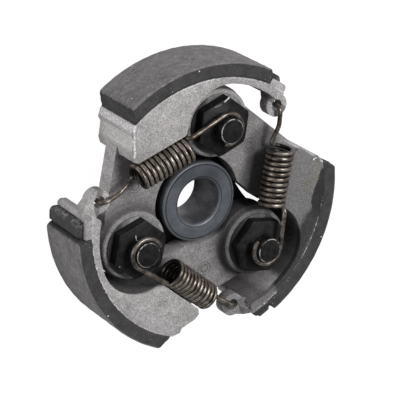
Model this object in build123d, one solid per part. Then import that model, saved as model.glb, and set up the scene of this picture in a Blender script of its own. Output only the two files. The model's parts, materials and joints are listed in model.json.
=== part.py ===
from build123d import *
from math import acos, asin, atan2, cos, degrees, hypot, radians, sin, sqrt
import os

# Three-shoe centrifugal clutch. Millimetres. The origin is on the crankshaft axis at the hub's
# rear face, +Z points out of the clutch towards the bolt heads, and the first bolt is on +Y.

# Layout
shoe_count = 3
first_pivot_angle = 90.0

# Radial build-up, each size outwards from the one before
bore_radius = 6.0
nose_wall = 4.54
nose_clearance = 1.76
shoulder_radius = 5.0
pivot_clearance = 0.05
eye_wall = 3.8
pocket_clearance = 2.55
arm_wall = 1.72
lining_thickness = 3.73

# Axial stations, measured from the hub's rear face
hub_length = 12.0
arm_thickness = 5.2
shoe_back_z = 1.5
shoe_width = 16.4
web_thickness = 5.0
eye_length = 7.85
axial_play = 0.1

# Hub: round nose in front, spider with hollow flanks behind
nose_chamfer = 0.35
bore_front_chamfer = 0.6
arm_end_radius = 8.0
spider_ledge = 3.56
spider_edge_chamfer = 0.4

# Bolt: round spring peg, hexagon head, shoulder that the shoe turns on, threaded end
peg_radius = 3.3
peg_height = 3.72
peg_chamfer = 0.3
head_across_flats = 13.5
head_height = 2.8
head_corner_cut = 0.6
thread_radius = 3.95
thread_end_recess = 0.4
thread_end_chamfer = 0.5
thread_clearance = 0.05
head_turns = (32.0, 30.0, 0.0)

# Washers
head_washer_radius = 7.85
head_washer_thickness = 0.4
spacer_washer_thickness = 0.6
washer_bore_clearance = 0.05

# Shoe casting: eye, and the web between the eye and the weight
eye_edge_chamfer = 0.3
eye_root_radius = 1.5
web_eye_margin = 0.4
web_chord_inset = 1.27
web_chord_angle = -30.0
web_neck_inset = 0.11
web_neck_height = 3.55
web_neck_taper = 0.5
web_neck_lean = 57.3
web_overlap = 3.0

# Shoe casting: weight, and the arm round the neighbour's eye
block_edge_drop = 4.03
block_corner_radius = 1.0
block_end_angle = 291.6
block_rim_steps = ((1.3, 1.8), (1.1, 3.2))
block_edge_reach = 1.88
block_edge_steps = ((1.1, -2.71), (1.2, -1.01))
arm_end_angle = 213.4
arm_end_thickness = 2.67
arm_end_rounding = 1.1
flare_height = 0.63
flare_angle = 215.8
lip_height = 1.63
lip_angle = 221.7
lip_thickness = 1.2
cast_overlap = 1.0

# Spring lug on the end of the shoe's arm
lug_inset = 3.27
lug_angle = 207.7
lug_radius = 3.05
lug_front_recess = 3.45
lug_thickness = 3.1
lug_hole_radius = 1.55
lug_root_turn = 3.0
lug_root_inset = 0.5
lug_saddle_angle = 211.0
lug_saddle_rise = 1.0
lug_ramp_angle = 210.6
lug_ramp_drop = 0.25
lug_ramp_slope = 20.0

# Friction lining
bond_gap = 0.03
lining_start_angle = 221.8
lining_start_bevel = 1.4
lining_end_bevel = 3.3
lining_end_rounding = 1.2
lining_step_drop = 0.8
lining_step_angle = 216.0
lining_step_rounding = 1.5
lining_notch_drop = 1.8
lining_notch_angle = 221.4
lining_lip_gap = 0.05

# Spring: close-wound coil, a hook round the bolt's peg and a swan neck into the lug
wire_radius = 0.6
coil_mean_radius = 3.0
coil_turn_gap = 0.16
coil_turns = 11.25
coil_block_clearance = 0.25
coil_start_x = 0.4
coil_below_peg_top = 3.37
coil_tilt = 1.5
hook_peg_clearance = 0.08
hook_wrap = 216.0
hooks_below_peg_top = (1.35, 2.0, 0.95)
hook_bend_radius = 1.3
neck_bend_radius = 1.1
neck_overrun = 1.25
neck_drift = 0.1
neck_side_sag = 0.4
neck_rise = 1.9
neck_depth_in_hole = 3.2
bend_swell = 0.03

# Worked out from the sizes above
hub_nose_radius = bore_radius + nose_wall
spider_waist_radius = hub_nose_radius + spider_ledge
clearance_radius = hub_nose_radius + nose_clearance
eye_bore_radius = shoulder_radius + pivot_clearance
eye_radius = eye_bore_radius + eye_wall
web_eye_radius = eye_radius + web_eye_margin
pivot_circle_radius = clearance_radius + eye_radius
pocket_radius = eye_radius + pocket_clearance
backing_radius = pivot_circle_radius + pocket_radius + arm_wall
friction_radius = backing_radius + lining_thickness
arm_inner_radius = backing_radius - arm_end_thickness
lug_circle_radius = backing_radius - lug_inset
shoe_front_z = shoe_back_z + shoe_width
eye_back_z = arm_thickness + spacer_washer_thickness + axial_play
web_front_z = eye_back_z + web_thickness
eye_front_z = eye_back_z + eye_length
head_washer_z = eye_front_z + axial_play
head_seat_z = head_washer_z + head_washer_thickness
head_top_z = head_seat_z + head_height
peg_top_z = head_top_z + peg_height
lug_front_z = shoe_front_z - lug_front_recess
lug_back_z = lug_front_z - lug_thickness
coil_z = peg_top_z - coil_below_peg_top
coil_pitch = 2 * wire_radius + coil_turn_gap
step_angle = 360.0 / shoe_count
through = 1.0
corner_reach = 0.2


def polar(radius, angle):
    return Vector(radius * cos(radians(angle)), radius * sin(radians(angle)))


def bearing(point):
    return degrees(atan2(point.Y, point.X))


# A shoe is drawn with its own pivot on +X. It lies clockwise from there, and its arm wraps round
# the neighbour's pivot, one step on. The spring over it hooks into the arm of the shoe behind.
own_pivot = polar(pivot_circle_radius, 0)
neighbour_pivot = polar(pivot_circle_radius, -step_angle)
own_lug = polar(lug_circle_radius, lug_angle)
lug_behind = polar(lug_circle_radius, lug_angle + step_angle)
block_edge_y = neighbour_pivot.Y - block_edge_drop
pocket_corner = Vector(neighbour_pivot.X + sqrt(pocket_radius**2 - block_edge_drop**2), block_edge_y)


def turned(shape, index):
    return shape.rotate(Axis.Z, first_pivot_angle + index * step_angle)


def at_pivot(shape, index):
    centre = polar(pivot_circle_radius, first_pivot_angle + index * step_angle)
    return Pos(centre.X, centre.Y, 0) * shape


def disc(radius, low, high, centre=Vector(0, 0)):
    cylinder = Cylinder(radius, high - low, align=(Align.CENTER, Align.CENTER, Align.MIN))
    return Pos(centre.X, centre.Y, low) * cylinder


def slab(face, low, high):
    return Pos(0, 0, low) * extrude(face, high - low)


def arc_about(centre, radius, start, end):
    """Arc from one angle to another about a centre, by way of the angle half way."""
    middle = (start + end) / 2
    return ThreePointArc(
        centre + polar(radius, start), centre + polar(radius, middle), centre + polar(radius, end)
    )


def ring_sector(inner, outer, inner_start, inner_end, outer_start, outer_end):
    origin = Vector(0, 0)
    inside = arc_about(origin, inner, inner_start, inner_end)
    outside = arc_about(origin, outer, outer_start, outer_end)
    return make_face([inside, Line(inside @ 1, outside @ 1), outside, Line(outside @ 0, inside @ 0)])


def upright_edges(shape, point, reach):
    """Edges along Z that pass within reach of a point of the plan."""
    found = shape.edges().filter_by(Axis.Z)
    return found.filter_by(lambda edge: hypot(edge.center().X - point.X, edge.center().Y - point.Y) < reach)


def make_spider():
    """Three round arm ends joined by hollow flanks, each tangent to the arm ends beside it."""
    half_step = radians(step_angle / 2)
    waist = spider_waist_radius
    # The flank's centre is its radius beyond the waist on the bisector, and its circle touches the
    # arm end's circle from outside, so one triangle gives the radius.
    flank_radius = (
        waist**2 + pivot_circle_radius**2 - arm_end_radius**2 - 2 * waist * pivot_circle_radius * cos(half_step)
    ) / (2 * (arm_end_radius - waist + pivot_circle_radius * cos(half_step)))
    edges = []
    for index in range(shoe_count):
        here = first_pivot_angle + index * step_angle
        pivot = polar(pivot_circle_radius, here)
        next_pivot = polar(pivot_circle_radius, here + step_angle)
        ahead = polar(flank_radius + waist, here + step_angle / 2)
        behind = polar(flank_radius + waist, here - step_angle / 2)
        start = pivot + (behind - pivot).normalized() * arm_end_radius
        stop = pivot + (ahead - pivot).normalized() * arm_end_radius
        arrival = next_pivot + (ahead - next_pivot).normalized() * arm_end_radius
        edges.append(ThreePointArc(start, pivot + polar(arm_end_radius, here), stop))
        edges.append(ThreePointArc(stop, polar(waist, here + step_angle / 2), arrival))
    spider = slab(make_face(edges), 0, arm_thickness)
    return chamfer(spider.faces().sort_by(Axis.Z)[-1].edges(), spider_edge_chamfer)


def make_hub():
    nose = disc(hub_nose_radius, 0, hub_length)
    nose = chamfer(nose.faces().sort_by(Axis.Z)[-1].edges(), nose_chamfer)
    hub = make_spider() + nose
    hub -= disc(bore_radius, -through, hub_length + through)
    funnel = Cone(
        bore_radius,
        bore_radius + bore_front_chamfer,
        bore_front_chamfer,
        align=(Align.CENTER, Align.CENTER, Align.MAX),
    )
    hub -= Pos(0, 0, hub_length) * funnel
    tapping = disc(thread_radius + thread_clearance, -through, arm_thickness + through)
    for index in range(shoe_count):
        hub -= at_pivot(tapping, index)
    return hub


def make_bolt(index):
    thread = disc(thread_radius, thread_end_recess, arm_thickness)
    thread = chamfer(thread.faces().sort_by(Axis.Z)[0].edges(), thread_end_chamfer)
    shoulder = disc(shoulder_radius, arm_thickness, head_seat_z)
    corner_radius = head_across_flats / 2 / cos(radians(30))
    head = slab(RegularPolygon(corner_radius, 6, rotation=head_turns[index]), head_seat_z, head_top_z)
    # A shallow cone takes the six corners off the head's top.
    top_radius = corner_radius - head_corner_cut
    turning = disc(corner_radius + through, head_seat_z, head_top_z - head_corner_cut)
    turning += Pos(0, 0, head_top_z - head_corner_cut) * Cone(
        corner_radius + head_corner_cut,
        top_radius,
        head_corner_cut,
        align=(Align.CENTER, Align.CENTER, Align.MIN),
    )
    head &= turning
    peg = disc(peg_radius, head_top_z, peg_top_z)
    peg = chamfer(peg.faces().sort_by(Axis.Z)[-1].edges(), peg_chamfer)
    return at_pivot(thread + shoulder + head + peg, index)


def make_washer(index, radius, low, thickness):
    washer = disc(radius, low, low + thickness)
    washer -= disc(shoulder_radius + washer_bore_clearance, low - through, low + thickness + through)
    return at_pivot(washer, index)


def weight_outline():
    """The weight block with its pocket for the neighbour's eye, and the arm round that eye."""
    pocket_start = -degrees(asin(block_edge_drop / pocket_radius))
    pocket = arc_about(neighbour_pivot, pocket_radius, pocket_start, -step_angle)
    arm_end = polar(arm_inner_radius, arm_end_angle)
    # The arm's inner side leaves the pocket smoothly and closes in a little towards its end.
    inner = TangentArc(pocket @ 1, arm_end, tangent=pocket % 1)
    outer = arc_about(Vector(0, 0), backing_radius, arm_end_angle, block_end_angle)
    rim_corner = outer @ 1
    edge_corner = Vector(rim_corner.X + block_edge_reach, block_edge_y)
    rim_steps = [rim_corner + Vector(step) for step in block_rim_steps]
    edge_steps = [edge_corner + Vector(step) for step in block_edge_steps]
    block_end = Polyline(rim_corner, *rim_steps, *edge_steps, edge_corner, pocket @ 0)
    return make_face([pocket, inner, Line(inner @ 1, outer @ 0), outer, *block_end.edges()])


def make_weight():
    """The weight with the flared end of its arm, and a thin lip in front that hides the lining's step."""
    weight = slab(weight_outline(), shoe_back_z, shoe_front_z)
    weight = fillet(upright_edges(weight, pocket_corner, through), block_corner_radius)
    root = arm_inner_radius + cast_overlap
    flare_radius = backing_radius + flare_height
    lip_radius = backing_radius + lip_height
    flare = ring_sector(root, flare_radius, arm_end_angle, flare_angle, arm_end_angle, flare_angle)
    weight += slab(flare, shoe_back_z, shoe_front_z)
    lip = ring_sector(root, lip_radius, arm_end_angle, lip_angle, arm_end_angle, lip_angle)
    weight += slab(lip, shoe_front_z - lip_thickness, shoe_front_z)
    for radius in (arm_inner_radius, flare_radius, lip_radius):
        corner = polar(radius, arm_end_angle)
        weight = fillet(upright_edges(weight, corner, corner_reach), arm_end_rounding)
    return weight


def web_outline():
    """The plate between the eye and the weight: a chord outside, the hub's clearance inside."""
    chord_normal = polar(1, web_chord_angle)
    chord_along = polar(1, web_chord_angle + 90)
    eye_run = own_pivot.dot(chord_along)
    eye_gap = web_eye_radius - web_chord_inset
    foot = chord_normal * (own_pivot.dot(chord_normal) + eye_gap)
    at_eye = foot + chord_along * (eye_run - sqrt(web_eye_radius**2 - eye_gap**2))
    inside_block = block_edge_y - web_overlap
    block_run = (inside_block - foot.Y) / chord_along.Y
    at_block = foot + chord_along * block_run
    neck = pocket_corner + Vector(web_neck_inset, web_neck_height)
    towards_hub = neck + polar(neck.length - clearance_radius / 2, web_neck_lean)
    corner = Vector(neck.X + web_neck_taper, inside_block)
    plate = make_face(Polyline(Vector(0, 0), own_pivot, at_eye, at_block, corner, neck, towards_hub, close=True))
    plate -= Circle(clearance_radius)
    return plate + Pos(own_pivot.X, own_pivot.Y) * Circle(web_eye_radius)


def make_eye_root():
    """Hollow fillet that runs from the eye's side on to the web."""
    low = eye_radius - through
    high = eye_radius + eye_root_radius
    bottom = web_front_z - through
    top = web_front_z + eye_root_radius
    profile = Pos((low + high) / 2, (bottom + top) / 2) * Rectangle(high - low, top - bottom)
    profile -= Pos(high, top) * Circle(eye_root_radius)
    return Pos(own_pivot.X, own_pivot.Y, 0) * revolve(Plane.XZ * profile, Axis.Z)


def make_lug():
    """Round lug behind the arm's face, with a saddle and a ramp that join it to the arm's end."""
    lug = disc(lug_radius, lug_back_z, lug_front_z, own_lug)
    inside = own_lug - polar(lug_radius, lug_angle)
    outside = own_lug + polar(lug_radius, lug_angle)
    root_angle = arm_end_angle + lug_root_turn
    root_outside = polar(backing_radius - lug_root_inset, root_angle)
    root_inside = polar(arm_inner_radius + lug_root_inset, root_angle)
    saddle_radius = backing_radius + lug_saddle_rise
    saddle = polar(saddle_radius, lug_saddle_angle)
    neck = make_face(Polyline(inside, outside, saddle, root_outside, root_inside, close=True))
    inner = arm_inner_radius + lug_root_inset
    foot_corners = [
        polar(inner, lug_ramp_angle),
        polar(saddle_radius, lug_ramp_angle),
        polar(saddle_radius, root_angle),
        polar(inner, root_angle),
    ]
    foot = make_face(Polyline(*foot_corners, close=True))
    ramp = extrude(foot, lug_front_recess - lug_ramp_drop, taper=lug_ramp_slope)
    return lug + slab(neck, lug_back_z, lug_front_z) + Pos(0, 0, lug_front_z) * ramp


def make_shoe():
    outline = web_outline()
    shoe = make_weight() + slab(outline, eye_back_z, web_front_z)
    eye = disc(eye_radius, eye_back_z, eye_front_z, own_pivot)
    eye = chamfer(eye.faces().sort_by(Axis.Z)[-1].edges(), eye_edge_chamfer)
    footprint = slab(outline, web_front_z - through, web_front_z + eye_root_radius)
    shoe += eye + (make_eye_root() & footprint)
    shoe += make_lug()
    shoe -= disc(eye_bore_radius, eye_back_z - through, eye_front_z + through, own_pivot)
    shoe -= disc(lug_hole_radius, lug_back_z - through, lug_front_z + through, own_lug)
    return shoe


def make_lining():
    """Bonded friction segment, bevelled at both ends, with a thin step left behind the lip."""
    inner = backing_radius + bond_gap
    body = ring_sector(
        inner,
        friction_radius,
        lining_start_angle,
        block_end_angle,
        lining_start_angle + lining_start_bevel,
        block_end_angle - lining_end_bevel,
    )
    lining = slab(body, shoe_back_z, shoe_front_z)
    for angle in (lining_start_angle + lining_start_bevel, block_end_angle - lining_end_bevel):
        corner = polar(friction_radius, angle)
        lining = fillet(upright_edges(lining, corner, corner_reach), lining_end_rounding)
    step_top = shoe_front_z - lining_lip_gap - lip_thickness
    step_start = lining_step_angle
    step_end = lining_notch_angle
    step_radius = friction_radius - lining_step_drop
    step = ring_sector(inner, step_radius, step_start, step_end, step_start, step_end)
    step = slab(step, shoe_back_z, step_top)
    step = fillet(upright_edges(step, polar(step_radius, step_start), corner_reach), lining_step_rounding)
    # A shallow notch parts the thin step from the worn main segment.
    bridge_end = lining_start_angle + lining_start_bevel / 2
    notch_radius = friction_radius - lining_notch_drop
    bridge = ring_sector(inner, notch_radius, step_end, bridge_end, step_end, bridge_end)
    return lining + step + slab(bridge, shoe_back_z, step_top)


def wire_along(path):
    start = Plane(origin=path @ 0, z_dir=path % 0)
    return sweep(start * Circle(wire_radius), path=path)


def make_coil():
    """Closed turns beside the weight. The first starts on its side, and the last ends underneath."""
    coil_y = block_edge_y + coil_block_clearance + wire_radius + coil_mean_radius
    tilt = radians(coil_tilt)
    frame = Plane(
        origin=(coil_start_x, coil_y, coil_z), x_dir=(0, -1, 0), z_dir=(cos(tilt), 0, -sin(tilt))
    )
    return frame * Helix(coil_pitch, coil_pitch * coil_turns, coil_mean_radius)


def make_spring(index):
    """Spring over one shoe's web, drawn with that shoe's pivot on +X."""
    hook_z = peg_top_z - hooks_below_peg_top[index]
    helix = make_coil()
    coil_start = helix @ 0
    coil_end = helix @ 1

    loop_radius = peg_radius + wire_radius + hook_peg_clearance
    reach = Vector(coil_start.X, coil_start.Y) - neighbour_pivot
    touch_angle = bearing(reach) - degrees(acos(loop_radius / reach.length))
    touch = neighbour_pivot + polar(loop_radius, touch_angle)
    loop = arc_about(neighbour_pivot, loop_radius, touch_angle, touch_angle - hook_wrap)
    shank = FilletPolyline(
        coil_start,
        Vector(coil_start.X, coil_start.Y, hook_z),
        Vector(touch.X, touch.Y, hook_z),
        radius=hook_bend_radius,
    )
    hook = wire_along(Wire([*shank.edges(), *(Pos(0, 0, hook_z) * loop).edges()]))

    turning = coil_end + Vector(neck_drift, neck_overrun, 0)
    above_lug = Vector(lug_behind.X, lug_behind.Y, lug_front_z + neck_rise)
    half_way = (turning + above_lug) / 2 - Vector(0, neck_side_sag, 0)
    in_lug = above_lug - Vector(0, 0, neck_rise + neck_depth_in_hole)
    neck = wire_along(
        FilletPolyline(coil_end, turning, half_way, above_lug, in_lug, radius=neck_bend_radius)
    )
    spring = wire_along(helix) + hook + neck
    # The wire swells a little where it turns sharply off the coil.
    for joint in (coil_start, coil_end):
        spring += Pos(joint.X, joint.Y, joint.Z) * Sphere(wire_radius + bend_swell)
    return spring


def main():
    os.makedirs("parts", exist_ok=True)
    nodes = {"hub": make_hub()}
    shoe = make_shoe()
    lining = make_lining()
    for index in range(shoe_count):
        number = index + 1
        nodes[f"pivot_bolt_{number}"] = make_bolt(index)
        nodes[f"head_washer_{number}"] = make_washer(
            index, head_washer_radius, head_washer_z, head_washer_thickness
        )
        nodes[f"spacer_washer_{number}"] = make_washer(
            index, arm_end_radius, arm_thickness, spacer_washer_thickness
        )
        nodes[f"shoe_{number}"] = turned(shoe, index)
        nodes[f"lining_{number}"] = turned(lining, index)
        nodes[f"spring_{number}"] = turned(make_spring(index), index)
    for name, shape in nodes.items():
        export_step(shape, f"parts/{name}.step")


main()
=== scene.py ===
import json
import math

import bmesh
import bpy
import numpy as np
from mathutils import Matrix, Vector


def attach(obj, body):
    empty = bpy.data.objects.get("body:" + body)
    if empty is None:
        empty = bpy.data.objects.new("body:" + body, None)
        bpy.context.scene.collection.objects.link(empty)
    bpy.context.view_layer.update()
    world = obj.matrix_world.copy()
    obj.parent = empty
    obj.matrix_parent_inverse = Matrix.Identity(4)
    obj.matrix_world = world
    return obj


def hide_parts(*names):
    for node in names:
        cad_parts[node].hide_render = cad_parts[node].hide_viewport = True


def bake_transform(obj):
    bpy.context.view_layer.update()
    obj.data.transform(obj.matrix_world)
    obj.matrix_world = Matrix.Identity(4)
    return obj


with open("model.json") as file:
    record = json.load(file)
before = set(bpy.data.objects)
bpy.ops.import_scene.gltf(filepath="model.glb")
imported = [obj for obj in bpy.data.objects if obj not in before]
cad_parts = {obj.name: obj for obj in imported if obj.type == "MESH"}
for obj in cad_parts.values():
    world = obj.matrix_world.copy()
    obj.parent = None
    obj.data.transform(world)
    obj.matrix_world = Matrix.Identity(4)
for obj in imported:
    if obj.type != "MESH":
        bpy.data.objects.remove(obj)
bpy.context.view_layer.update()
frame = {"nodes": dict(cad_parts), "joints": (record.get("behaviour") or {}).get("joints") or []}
print("frame loaded,", len(frame["nodes"]), "nodes")

mm = 0.001
stepAngle = 120.0  # between the bolts
firstPivotAngle = 90.0


# Stage: camera, lamps, floor

cameraSetup = {
    "lens": 183.52, "sensor": 36.0,  # for a square picture
    "clip": (0.05, 10.0),  # metres
    "turnVector": (-2.714421, -0.523878, -0.911095),
    "roll": 16.90323,
    "shift": (2.935749, 2.341578, 507.547028),
    "datum": 17.9,  # height of the plane that the fit was made in
}


def aimCamera():
    # The rotation vector and shift come from fitting the hub, bolts and washers of the photograph.
    look = cameraSetup
    turnVector = Vector(look["turnVector"])
    tilt = Matrix.Rotation(turnVector.length, 3, turnVector.normalized())
    matrix = tilt @ Matrix.Rotation(math.radians(look["roll"]), 3, "Z")
    place = Vector((0, 0, look["datum"])) - matrix.transposed() @ Vector(look["shift"])
    camera = bpy.data.objects.new("camera", bpy.data.cameras.new("camera"))
    bpy.context.scene.collection.objects.link(camera)
    axes = Matrix((matrix[0], -matrix[1], -matrix[2])).transposed()
    camera.matrix_world = Matrix.Translation(place * mm) @ axes.to_4x4()
    camera.data.lens = look["lens"]
    camera.data.sensor_width = look["sensor"]
    camera.data.clip_start, camera.data.clip_end = look["clip"]
    bpy.context.scene.camera = camera
    return camera


lampSetup = {  # reach and size in metres, power in watts
    "key": {"side": 0.66, "up": 0.12, "back": 0.75, "reach": 0.9, "size": 0.36, "power": 7.9},
    "fill": {"side": -0.9, "up": -0.12, "back": 0.45, "reach": 0.9, "size": 0.7, "power": 7.4},
}


def addLamps(camera):
    # Each lamp is placed by the camera's own right, up and back directions, aimed at the object.
    axes = camera.matrix_world.to_3x3()
    for name, lamp in lampSetup.items():
        data = bpy.data.lights.new(name, "AREA")
        data.size = lamp["size"]
        data.energy = lamp["power"]
        light = bpy.data.objects.new(name, data)
        bpy.context.scene.collection.objects.link(light)
        direction = axes @ Vector((lamp["side"], lamp["up"], lamp["back"]))
        direction.normalize()
        light.location = direction * lamp["reach"]
        light.rotation_mode = "QUATERNION"
        light.rotation_quaternion = (-direction).to_track_quat("-Z", "Y")


worldSetup = {"light": (0.5, 0.5, 0.51, 1.0), "strength": 0.45, "white": 1.0}


def makeWorld():
    world = bpy.data.worlds.new("studio")
    bpy.context.scene.world = world
    world.use_nodes = True
    tree = world.node_tree
    tree.nodes.clear()
    paths = tree.nodes.new("ShaderNodeLightPath")
    seen = tree.nodes.new("ShaderNodeMath")
    seen.operation = "MAXIMUM"
    tree.links.new(paths.outputs["Is Camera Ray"], seen.inputs[0])
    tree.links.new(paths.outputs["Is Transmission Ray"], seen.inputs[1])
    light = tree.nodes.new("ShaderNodeBackground")
    light.inputs["Color"].default_value = worldSetup["light"]
    light.inputs["Strength"].default_value = worldSetup["strength"]
    white = tree.nodes.new("ShaderNodeBackground")
    white.inputs["Strength"].default_value = worldSetup["white"]
    white.inputs["Color"].default_value = (1, 1, 1, 1)
    mix = tree.nodes.new("ShaderNodeMixShader")
    tree.links.new(seen.outputs[0], mix.inputs[0])
    tree.links.new(light.outputs[0], mix.inputs[1])
    tree.links.new(white.outputs[0], mix.inputs[2])
    output = tree.nodes.new("ShaderNodeOutputWorld")
    tree.links.new(mix.outputs[0], output.inputs["Surface"])


floorSetup = {"size": 3.0, "drop": 0.02, "glow": 0.9, "shine": 1.09, "paper": 0.8}  # size in metres


def makeFloor():
    # A white sweep: mostly its own glow to the camera, and some paper that keeps the shadow.
    # From below it is clear, so that the underside shows.
    mesh = bpy.data.meshes.new("floor")
    half = floorSetup["size"] / 2
    z = -floorSetup["drop"] * mm
    corners = [(-half, -half, z), (half, -half, z), (half, half, z), (-half, half, z)]
    mesh.from_pydata(corners, [], [(0, 1, 2, 3)])
    floor = bpy.data.objects.new("floor", mesh)
    bpy.context.scene.collection.objects.link(floor)
    material = bpy.data.materials.new("whiteFloor")
    material.use_nodes = True
    tree = material.node_tree
    tree.nodes.clear()
    paths = tree.nodes.new("ShaderNodeLightPath")
    share = tree.nodes.new("ShaderNodeMath")
    share.operation = "MULTIPLY"
    share.inputs[1].default_value = floorSetup["glow"]
    tree.links.new(paths.outputs["Is Camera Ray"], share.inputs[0])
    paper = tree.nodes.new("ShaderNodeBsdfDiffuse")
    level = floorSetup["paper"]
    paper.inputs["Color"].default_value = (level, level, level, 1)
    glow = tree.nodes.new("ShaderNodeEmission")
    glow.inputs["Strength"].default_value = floorSetup["shine"]
    mix = tree.nodes.new("ShaderNodeMixShader")
    tree.links.new(share.outputs[0], mix.inputs[0])
    tree.links.new(paper.outputs[0], mix.inputs[1])
    tree.links.new(glow.outputs[0], mix.inputs[2])
    faces = tree.nodes.new("ShaderNodeNewGeometry")
    clear = tree.nodes.new("ShaderNodeBsdfTransparent")
    sides = tree.nodes.new("ShaderNodeMixShader")
    tree.links.new(faces.outputs["Backfacing"], sides.inputs[0])
    tree.links.new(mix.outputs[0], sides.inputs[1])
    tree.links.new(clear.outputs[0], sides.inputs[2])
    output = tree.nodes.new("ShaderNodeOutputMaterial")
    tree.links.new(sides.outputs[0], output.inputs["Surface"])
    mesh.materials.append(material)


# Finishes

class Finish:
    # One material's nodes. Places are in millimetres, turned so that the piece's own pivot is on +X.

    def __init__(self, name, turn=0.0, seed=0.0):
        self.material = bpy.data.materials.new(name)
        self.material.use_nodes = True
        self.tree = self.material.node_tree
        self.tree.nodes.clear()
        self.shader = self.tree.nodes.new("ShaderNodeBsdfPrincipled")
        output = self.tree.nodes.new("ShaderNodeOutputMaterial")
        self.tree.links.new(self.shader.outputs[0], output.inputs["Surface"])
        coordinates = self.tree.nodes.new("ShaderNodeTexCoord")
        mapping = self.tree.nodes.new("ShaderNodeMapping")
        mapping.inputs["Scale"].default_value = (1 / mm, 1 / mm, 1 / mm)
        mapping.inputs["Rotation"].default_value = (0, 0, -math.radians(turn))
        self.put(coordinates.outputs["Object"], mapping.inputs["Vector"])
        self.place = mapping.outputs[0]
        split = self.tree.nodes.new("ShaderNodeSeparateXYZ")
        self.put(self.place, split.inputs[0])
        self.x, self.y, self.z = split.outputs
        faces = self.tree.nodes.new("ShaderNodeSeparateXYZ")
        self.put(coordinates.outputs["Normal"], faces.inputs[0])
        self.upward = self.rise(faces.outputs[2], 0.3, 0.7)  # 1 on faces that look up
        flat = self.tree.nodes.new("ShaderNodeCombineXYZ")
        self.put(self.x, flat.inputs[0])
        self.put(self.y, flat.inputs[1])
        self.plan = flat.outputs[0]
        self.radius = self.away((0, 0))
        self.seed = seed
        self.colour = None
        self.normal = None

    def put(self, value, socket):
        if isinstance(value, bpy.types.NodeSocket):
            self.tree.links.new(value, socket)
        else:
            socket.default_value = value

    def math(self, operation, a, b=None, clamp=False):
        node = self.tree.nodes.new("ShaderNodeMath")
        node.operation = operation
        node.use_clamp = clamp
        self.put(a, node.inputs[0])
        if b is not None:
            self.put(b, node.inputs[1])
        return node.outputs[0]

    def vector(self, operation, a, b, output="Vector"):
        node = self.tree.nodes.new("ShaderNodeVectorMath")
        node.operation = operation
        self.put(a, node.inputs[0])
        self.put(b, node.inputs["Scale"] if operation == "SCALE" else node.inputs[1])
        return node.outputs[output]

    def noise(self, size, detail, rough, stretch=None):
        # Size is in millimetres.
        node = self.tree.nodes.new("ShaderNodeTexNoise")
        node.noise_dimensions = "4D"
        vector = self.vector("MULTIPLY", self.place, stretch) if stretch else self.place
        self.put(vector, node.inputs["Vector"])
        node.inputs["W"].default_value = self.seed
        node.inputs["Scale"].default_value = 1 / size
        node.inputs["Detail"].default_value = detail
        node.inputs["Roughness"].default_value = rough
        return node.outputs["Fac"]

    def cells(self, size):
        # Distance from the nearest of points strewn about one size apart.
        node = self.tree.nodes.new("ShaderNodeTexVoronoi")
        self.put(self.place, node.inputs["Vector"])
        node.inputs["Scale"].default_value = 1 / size
        return node.outputs["Distance"]

    def rise(self, value, low, high, start=0.0, end=1.0):
        # From start to end along a smooth S, as the value goes from low to high.
        node = self.tree.nodes.new("ShaderNodeMapRange")
        node.interpolation_type = "SMOOTHSTEP"
        self.put(value, node.inputs["Value"])
        for name, number in zip(("From Min", "From Max", "To Min", "To Max"), (low, high, start, end)):
            node.inputs[name].default_value = number
        return node.outputs["Result"]

    def fall(self, value, low, high):
        return self.rise(value, low, high, 1.0, 0.0)

    def within(self, value, low, high, soft):
        # 1 between low and high, with soft edges.
        return self.both(self.rise(value, low - soft, low + soft), self.fall(value, high - soft, high + soft))

    def both(self, *masks):
        # Where all of the masks hold.
        result = masks[0]
        for mask in masks[1:]:
            result = self.math("MULTIPLY", result, mask)
        return result

    def away(self, point):
        # Distance in the plan from an upright axis through the point.
        return self.vector("DISTANCE", self.plan, (*point, 0), "Value")

    def awayFromRun(self, start, end):
        # Distance in the plan from the straight run between two points.
        run = Vector((end[0] - start[0], end[1] - start[1], 0))
        reach = self.vector("SUBTRACT", self.plan, (*start, 0))
        share = self.vector("DOT_PRODUCT", reach, run / max(run.length_squared, 1e-6), "Value")
        share = self.math("ADD", share, 0.0, clamp=True)
        return self.vector("DISTANCE", reach, self.vector("SCALE", run, share), "Value")

    def blend(self, share, first, second, mode="MIX"):
        node = self.tree.nodes.new("ShaderNodeMix")
        node.data_type = "RGBA"
        node.blend_type = mode
        self.put(share, node.inputs[0])
        self.put(first, node.inputs[6])
        self.put(second, node.inputs[7])
        return node.outputs[2]

    def tint(self, mask, colour, share=1.0):
        if share < 1:
            mask = self.math("MULTIPLY", mask, share)
        self.colour = self.blend(mask, self.colour, colour)

    def grain(self, size, low, high, detail=2.0):
        # Fine speckle between the factors low and high, multiplied into the colour.
        fine = self.rise(self.noise(size, detail, 0.7), 0.34, 0.66, low, high)
        self.colour = self.blend(1.0, self.colour, fine, "MULTIPLY")

    def dim(self, mask, factor):
        self.colour = self.blend(mask, self.colour, (factor, factor, factor, 1), "MULTIPLY")

    def bump(self, height, depth, strength):
        node = self.tree.nodes.new("ShaderNodeBump")
        node.inputs["Strength"].default_value = strength
        node.inputs["Distance"].default_value = depth * mm
        self.put(height, node.inputs["Height"])
        if self.normal:
            self.put(self.normal, node.inputs["Normal"])
        self.normal = node.outputs[0]

    def mark(self, mark):
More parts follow.
